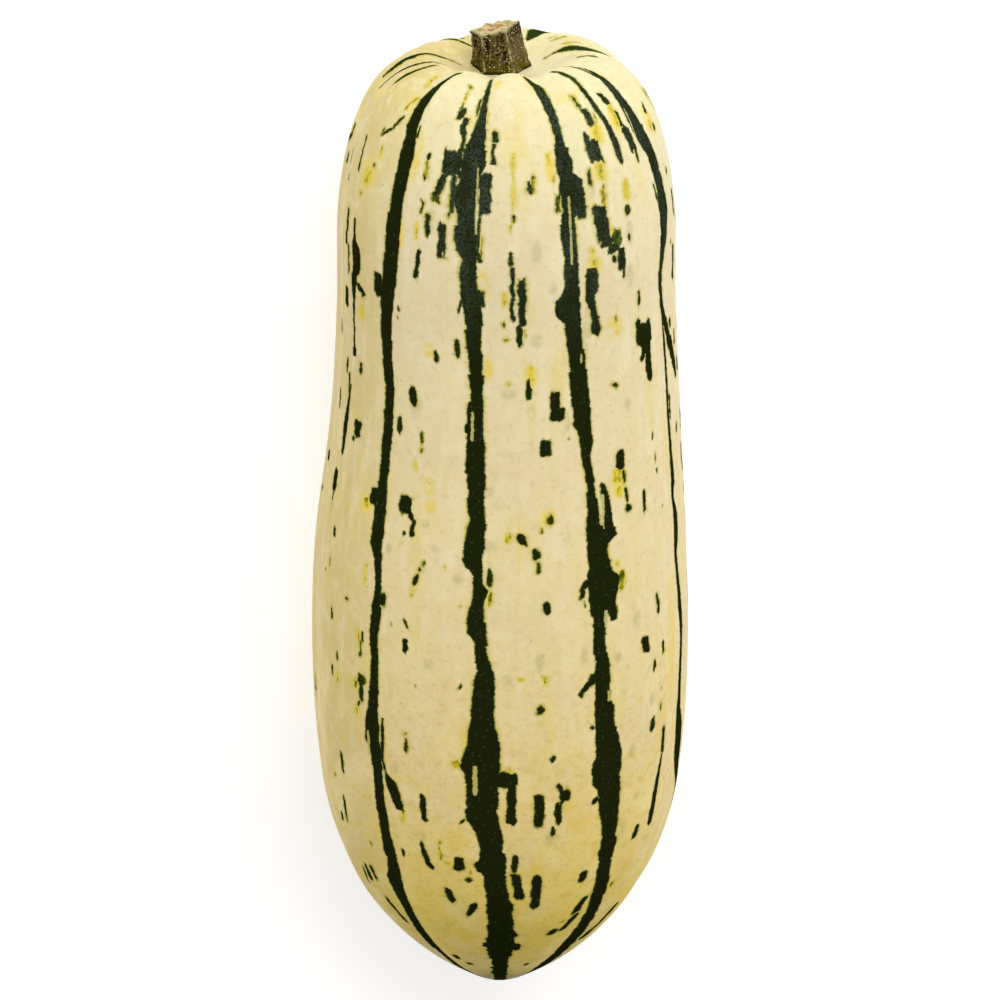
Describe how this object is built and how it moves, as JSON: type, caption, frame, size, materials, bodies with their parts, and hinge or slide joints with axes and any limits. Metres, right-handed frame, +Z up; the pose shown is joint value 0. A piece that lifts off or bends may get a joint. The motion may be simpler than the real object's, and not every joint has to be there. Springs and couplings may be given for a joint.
{
  "type": "delicata squash",
  "caption": "Whole long ribbed winter squash with a cut stem stub, lying on its side on a small flat spot.",
  "frame": {"origin": "on the ground, under the middle of the whole squash's box", "axes": "+Z up from the surface it lies on, +Y along the squash towards the stem, +X to the right with the stem pointing away from the viewer"},
  "size_m": [0.08, 0.2144, 0.0789],
  "materials": {
    "rind": "waxy semi-gloss cream rind with dark green stripes and flecks in the furrows",
    "stem_bark": "dry olive-brown ridged stem with a paler fibrous cut"
  },
  "bodies": {
    "root": {"fruit": "rind", "stem": "stem_bark"}
  },
  "joints": []
}
